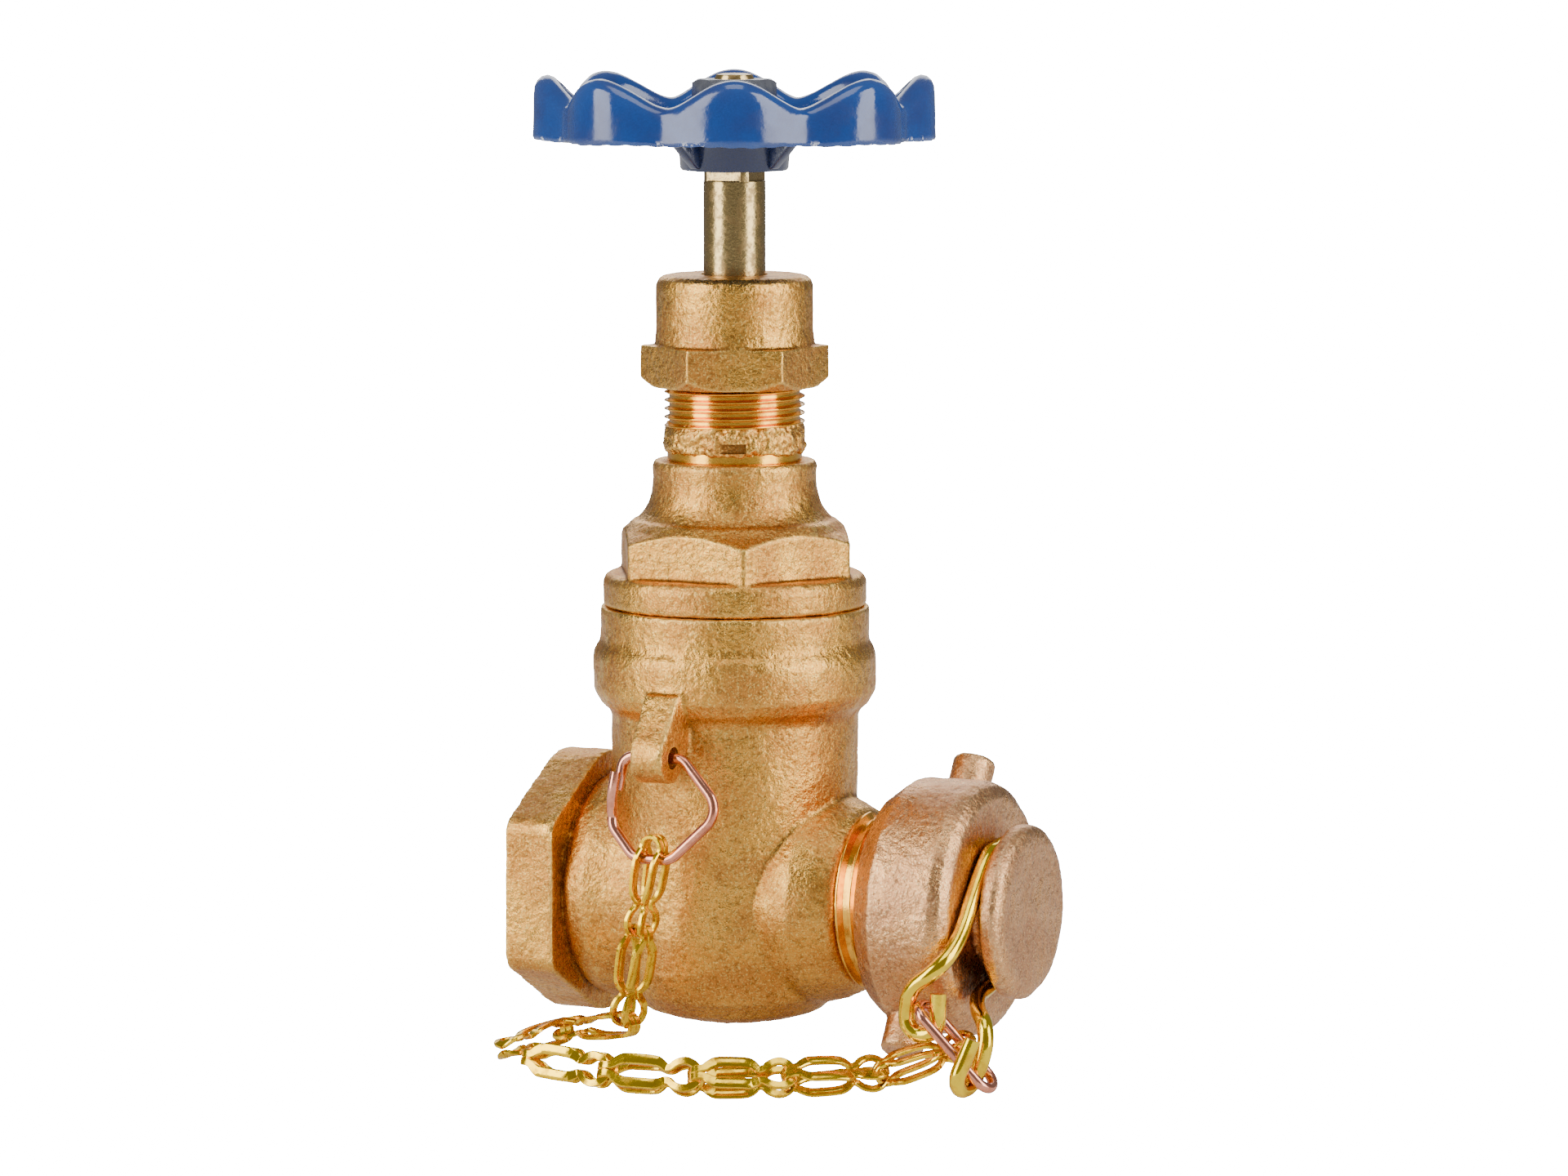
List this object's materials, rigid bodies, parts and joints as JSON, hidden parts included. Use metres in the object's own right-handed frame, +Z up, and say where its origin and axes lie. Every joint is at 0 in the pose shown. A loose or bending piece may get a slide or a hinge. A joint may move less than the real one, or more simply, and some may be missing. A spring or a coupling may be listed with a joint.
{
  "type": "hose gate valve",
  "caption": "Bronze hose gate valve with a lobed handwheel, non-rising stem, threaded hose outlet, and a screw cap held by a chain.",
  "frame": {"origin": "centre of the inlet's open face, on the pipe axis", "axes": "+X along the pipe from inlet to hose outlet; +Z up along the stem towards the handwheel; +Y to the back, so the chain lug is on the -Y side"},
  "size_m": [0.0814, 0.0726, 0.149],
  "materials": {
    "cast_bronze": "sand-cast bronze, fine grain, satin",
    "turned_brass": "turned or drawn brass, satin",
    "packing_cord": "graphited braided packing",
    "blue_enamel": "glossy blue enamel over cast metal",
    "zinc_plate": "zinc plated steel, satin",
    "black_rubber": "matte black rubber",
    "brass_wire": "bright drawn brass wire",
    "copper_wire": "bright copper wire",
    "brass_strip": "bright stamped brass strip"
  },
  "bodies": {
    "valve": {"body": "cast_bronze", "bonnet": "cast_bronze", "stuffing_box": "cast_bronze", "packing_nut": "cast_bronze", "packing_gland": "turned_brass", "packing_rings": "packing_cord"},
    "wheel_and_stem": {"stem": "turned_brass", "handwheel": "blue_enamel", "wheel_washer": "zinc_plate", "wheel_nut": "zinc_plate"},
    "gate": {"gate_wedge": "cast_bronze"},
    "clip": {"cap_clip": "brass_wire"},
    "cap": {"hose_cap": "cast_bronze", "cap_gasket": "black_rubber"},
    "body_ring": {"body_ring": "copper_wire"},
    "cap_ring": {"cap_ring": "copper_wire"},
    "link_1": {"chain_link_1": "brass_strip"},
    "link_2": {"chain_link_2": "brass_strip"},
    "link_3": {"chain_link_3": "brass_strip"},
    "link_4": {"chain_link_4": "brass_strip"},
    "link_5": {"chain_link_5": "brass_strip"},
    "link_6": {"chain_link_6": "brass_strip"},
    "link_7": {"chain_link_7": "brass_strip"},
    "link_8": {"chain_link_8": "brass_strip"},
    "link_9": {"chain_link_9": "brass_strip"}
  },
  "joints": [
    {"name": "wheel_turn", "type": "hinge", "parent": "valve", "child": "wheel_and_stem", "pos_m": [0.0295, 0, 0.116], "axis": [0, 0, 1], "range_deg": [0, 2376]},
    {"name": "gate_lift", "type": "slide", "parent": "valve", "child": "gate", "axis": [0, 0, 1], "range_m": [0, 0.021]},
    {"name": "cap_travel", "type": "slide", "parent": "valve", "child": "clip", "axis": [1, 0, 0], "range_m": [0, 0.00775]},
    {"name": "cap_turn", "type": "hinge", "parent": "clip", "child": "cap", "pos_m": [0.0675, 0, 0], "axis": [1, 0, 0], "range_deg": [0, 1260]},
    {"name": "body_ring_swing", "type": "hinge", "parent": "valve", "child": "body_ring", "pos_m": [0.0282, -0.024, 0.0234], "axis": [-1, 0, 0], "range_deg": [-0.5, 4]},
    {"name": "link_1_swing", "type": "hinge", "parent": "body_ring", "child": "link_1", "pos_m": [0.0289, -0.0264, 0.0084], "axis": [-1, 0, 0], "range_deg": [-3, 6]},
    {"name": "link_2_swing", "type": "hinge", "parent": "link_1", "child": "link_2", "pos_m": [0.02651, -0.02652, -0.00329], "axis": [-0.2722, -0.9613, 0.0431], "range_deg": [-5, 2]},
    {"name": "link_3_swing", "type": "hinge", "parent": "link_2", "child": "link_3", "pos_m": [0.02435, -0.02652, -0.01692], "axis": [-0.2419, -0.9703, 0], "range_deg": [-4, 4]},
    {"name": "link_4_swing", "type": "hinge", "parent": "link_3", "child": "link_4", "pos_m": [0.01286, -0.02587, -0.01885], "axis": [0.9442, -0.1811, 0.2753], "range_deg": [-4, 4]},
    {"name": "cap_ring_swing", "type": "hinge", "parent": "clip", "child": "cap_ring", "pos_m": [0.0702, -0.0213, -0.0113], "axis": [0.6556, 0.1534, -0.7393], "range_deg": [-1, 1]},
    {"name": "link_9_swing", "type": "hinge", "parent": "cap_ring", "child": "link_9", "pos_m": [0.07559, -0.01761, -0.01738], "axis": [-0.1606, -0.3114, 0.9366], "range_deg": [-1, 3]},
    {"name": "link_8_swing", "type": "hinge", "parent": "link_9", "child": "link_8", "pos_m": [0.06586, -0.02393, -0.02115], "axis": [-0.5814, 0.7967, 0.1652], "range_deg": [0, 6]},
    {"name": "link_7_swing", "type": "hinge", "parent": "link_8", "child": "link_7", "pos_m": [0.05484, -0.03223, -0.02139], "axis": [-0.5282, 0.6864, 0.4999], "range_deg": [0, 6]},
    {"name": "link_6_swing", "type": "hinge", "parent": "link_7", "child": "link_6", "pos_m": [0.04244, -0.03828, -0.02139], "axis": [-0.299, 0.613, 0.7313], "range_deg": [0, 6]},
    {"name": "link_5_swing", "type": "hinge", "parent": "link_6", "child": "link_5", "pos_m": [0.0289, -0.04091, -0.02115], "axis": [-0.0714, 0.4486, 0.8909], "range_deg": [0, 6]}
  ],
  "couplings": [
    {"joint": "gate_lift", "follows": "wheel_turn", "m_per_rad": 0.00050532},
    {"joint": "cap_travel", "follows": "cap_turn", "m_per_rad": 0.00035157}
  ]
}
